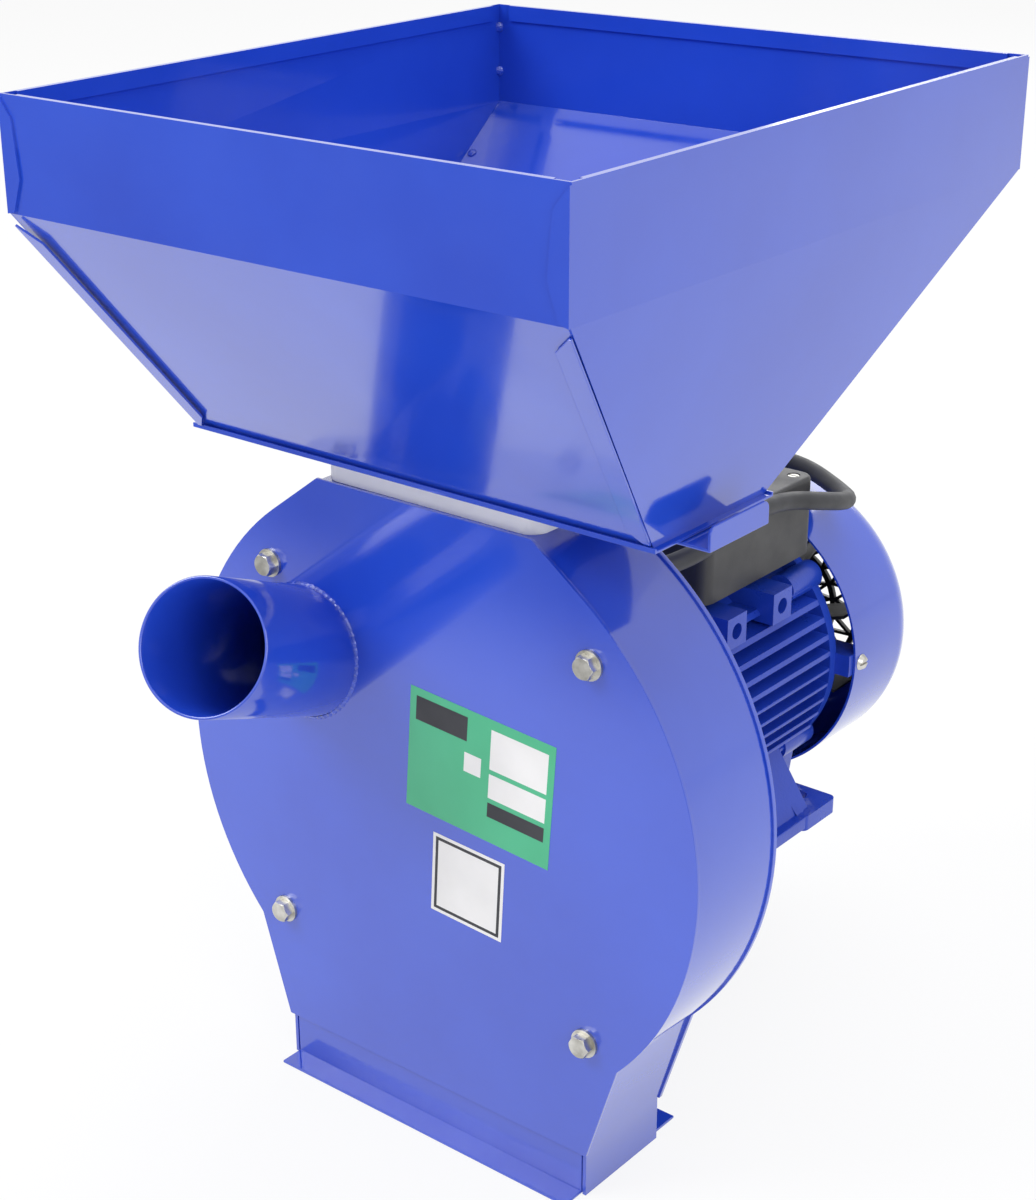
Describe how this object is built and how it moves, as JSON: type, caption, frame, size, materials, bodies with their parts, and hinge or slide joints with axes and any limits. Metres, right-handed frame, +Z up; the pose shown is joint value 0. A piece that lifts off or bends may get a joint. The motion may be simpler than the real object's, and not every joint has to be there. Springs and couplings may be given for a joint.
{
  "type": "electric grain mill",
  "caption": "Hammer type grain mill: sheet hopper with slide gate, round milling drum with slanted feed pipe, bottom outlet and a finned foot-mounted motor.",
  "frame": {"origin": "middle of the motor's four foot slots, on the underside of the feet", "axes": "+Z up along the hopper, +Y from the drum cover to the fan end along the shaft, +X to the right seen from the cover, the way the gate pulls out"},
  "size_m": [0.365, 0.4325, 0.511],
  "materials": {
    "blue_enamel": "glossy enamel over sheet steel and castings",
    "zinc": "zinc plated, satin",
    "bare_steel": "machined, lightly oiled",
    "screen_steel": "perforated bright sheet",
    "white_plastic": "milky, slightly translucent",
    "black_plastic": "moulded, fine grain",
    "button_red": "moulded",
    "cord_rubber": "matt sheath",
    "gasket_rubber": "matt",
    "copper_enamel": "varnished copper wire",
    "lamination": "stacked electrical sheet",
    "capacitor_can": "drawn can",
    "terminal_plastic": "moulded",
    "pin_brass": "nickel washed"
  },
  "bodies": {
    "housing": {"drum_shell": "blue_enamel", "drum_back_plate": "blue_enamel", "cover_posts": "zinc", "front_cover": "blue_enamel", "feed_pipe": "blue_enamel", "cover_bolts": "zinc", "chute_front_wall": "blue_enamel", "chute_back_wall": "blue_enamel", "hopper_front_panel": "blue_enamel", "hopper_back_panel": "blue_enamel", "hopper_left_panel": "blue_enamel", "hopper_right_panel": "blue_enamel", "hopper_base": "blue_enamel", "inlet_collar": "white_plastic", "hopper_screws": "zinc", "screen": "screen_steel", "screen_ledges": "bare_steel", "shaft_seal": "gasket_rubber", "front_bearing": "bare_steel", "rear_bearing": "bare_steel", "front_end_shield": "blue_enamel", "rear_end_shield": "blue_enamel", "shield_screws": "zinc", "motor_mount_screws": "zinc", "motor_frame": "blue_enamel", "stator_core": "lamination", "stator_windings": "copper_enamel", "fan_cowl": "blue_enamel", "cowl_screws": "zinc", "fan_grille": "black_plastic", "switch_box": "black_plastic", "switch_box_lid": "black_plastic", "box_gasket": "gasket_rubber", "lid_screws": "zinc", "switch_bezel": "black_plastic", "breaker_body": "black_plastic", "run_capacitor": "capacitor_can", "terminal_block": "terminal_plastic", "cord_gland": "black_plastic", "power_cord": "cord_rubber", "cord_coil": "cord_rubber", "plug_body": "cord_rubber", "plug_pins": "pin_brass"},
    "rotor": {"rotor_front_disc": "bare_steel", "rotor_back_disc": "bare_steel", "rotor_hub": "bare_steel", "hammer_pins": "bare_steel", "hammer_spacers": "bare_steel", "motor_shaft": "bare_steel", "shaft_key": "bare_steel", "rotor_nut_and_washer": "zinc", "rotor_core": "lamination", "cooling_fan": "black_plastic"},
    "hammers_tr": {"hammers_top_right": "bare_steel"},
    "hammers_tl": {"hammers_top_left": "bare_steel"},
    "hammers_bl": {"hammers_bottom_left": "bare_steel"},
    "hammers_br": {"hammers_bottom_right": "bare_steel"},
    "gate": {"slide_gate": "blue_enamel"},
    "rocker": {"rocker_button": "button_red"},
    "reset": {"reset_button": "button_red"}
  },
  "joints": [
    {"name": "rotor_spin", "type": "hinge", "parent": "housing", "child": "rotor", "pos_m": [0, -0.15, 0.08], "axis": [0, 1, 0], "continuous": true},
    {"name": "hammer_swing_tr", "type": "hinge", "parent": "rotor", "child": "hammers_tr", "pos_m": [0.05374, -0.145, 0.13374], "axis": [0, 1, 0], "range_deg": [-285, 15]},
    {"name": "hammer_swing_tl", "type": "hinge", "parent": "rotor", "child": "hammers_tl", "pos_m": [-0.05374, -0.145, 0.13374], "axis": [0, 1, 0], "range_deg": [-15, 285]},
    {"name": "hammer_swing_bl", "type": "hinge", "parent": "rotor", "child": "hammers_bl", "pos_m": [-0.05374, -0.145, 0.02626], "axis": [0, 1, 0], "range_deg": [-105, 195]},
    {"name": "hammer_swing_br", "type": "hinge", "parent": "rotor", "child": "hammers_br", "pos_m": [0.05374, -0.145, 0.02626], "axis": [0, 1, 0], "range_deg": [-195, 105]},
    {"name": "gate_slide", "type": "slide", "parent": "housing", "child": "gate", "axis": [1, 0, 0], "range_m": [0, 0.1]},
    {"name": "rocker_tip", "type": "hinge", "parent": "housing", "child": "rocker", "pos_m": [-0.051, 0.00789, 0.159], "axis": [0, 0, 1], "range_deg": [0, 12]},
    {"name": "reset_push", "type": "slide", "parent": "housing", "child": "reset", "axis": [1, 0, 0], "range_m": [0, 0.003], "stiffness_N_per_m": 300}
  ]
}
